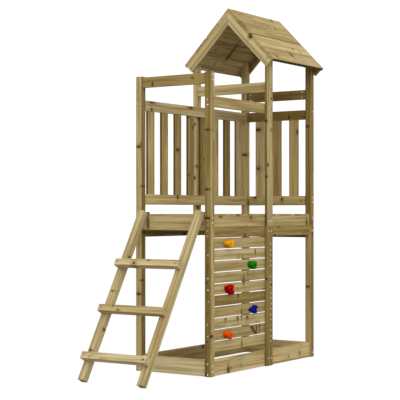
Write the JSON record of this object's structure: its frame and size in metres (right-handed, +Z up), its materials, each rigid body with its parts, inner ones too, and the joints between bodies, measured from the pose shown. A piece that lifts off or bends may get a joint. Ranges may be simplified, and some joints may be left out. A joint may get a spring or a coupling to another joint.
{
  "type": "climbing frame",
  "caption": "Wooden garden climbing frame: a raised slatted-rail deck on square posts with a leaning ladder, a climbing wall with coloured holds and a gable roof",
  "frame": {"origin": "Middle of the footprint's box, on the ground.", "axes": "+X points to the climbing-wall side, -Y to the ladder end, +Y to the roofed end, +Z up."},
  "size_m": [0.639, 1.7768, 2.147],
  "materials": {
    "pine_square": "pressure-treated pine, planed",
    "pine_board": "pressure-treated pine, planed",
    "pine_roof": "pressure-treated pine, planed",
    "pine_rafter": "pressure-treated pine, planed",
    "beech_dowel": "plain",
    "zinc_steel": "zinc plated",
    "black_steel": "black powder coat",
    "hold_yellow": "moulded, fine texture",
    "hold_green": "moulded, fine texture",
    "hold_red": "moulded, fine texture",
    "hold_blue": "moulded, fine texture",
    "hold_orange": "moulded, fine texture"
  },
  "bodies": {
    "root": {"front_left_lower_post": "pine_square", "front_right_lower_post": "pine_square", "back_left_lower_post": "pine_square", "back_right_lower_post": "pine_square", "front_left_upper_post": "pine_square", "front_right_upper_post": "pine_square", "back_left_upper_post": "pine_square", "back_right_upper_post": "pine_square", "middle_board_left": "pine_board", "middle_board_right": "pine_board", "wall_stile": "pine_board", "front_base_board": "pine_board", "back_base_board": "pine_board", "left_base_board": "pine_board", "right_base_board": "pine_board", "left_lower_rim": "pine_board", "right_lower_rim": "pine_board", "back_lower_rim": "pine_board", "front_rim": "pine_board", "left_upper_rim": "pine_board", "right_upper_rim": "pine_board", "back_upper_rim": "pine_board", "front_top_rail": "pine_board", "middle_top_rail": "pine_board", "back_top_rail": "pine_board", "right_guard_rail": "pine_board", "left_guard_rail": "pine_board", "left_bottom_rail": "pine_board", "back_guard_rail": "pine_board", "back_bottom_rail": "pine_board", "left_slats": "pine_board", "back_slats": "pine_board", "deck_boards": "pine_board", "climbing_boards": "pine_board", "front_left_rafter": "pine_rafter", "front_right_rafter": "pine_rafter", "back_left_rafter": "pine_rafter", "back_right_rafter": "pine_rafter", "left_roof_planks": "pine_roof", "right_roof_planks": "pine_roof", "rafter_cleats": "pine_rafter", "left_ladder_side": "pine_square", "right_ladder_side": "pine_square", "top_rung": "pine_square", "middle_rung": "pine_square", "bottom_rung": "pine_square", "left_ladder_hook": "black_steel", "right_ladder_hook": "black_steel", "yellow_hold": "hold_yellow", "green_hold": "hold_green", "red_hold": "hold_red", "blue_hold": "hold_blue", "orange_hold": "hold_orange", "post_dowels": "beech_dowel", "frame_screws": "zinc_steel", "board_screws": "zinc_steel", "deck_screws": "zinc_steel", "roof_screws": "zinc_steel", "ladder_bolts": "zinc_steel", "hold_bolts": "zinc_steel"}
  },
  "joints": []
}
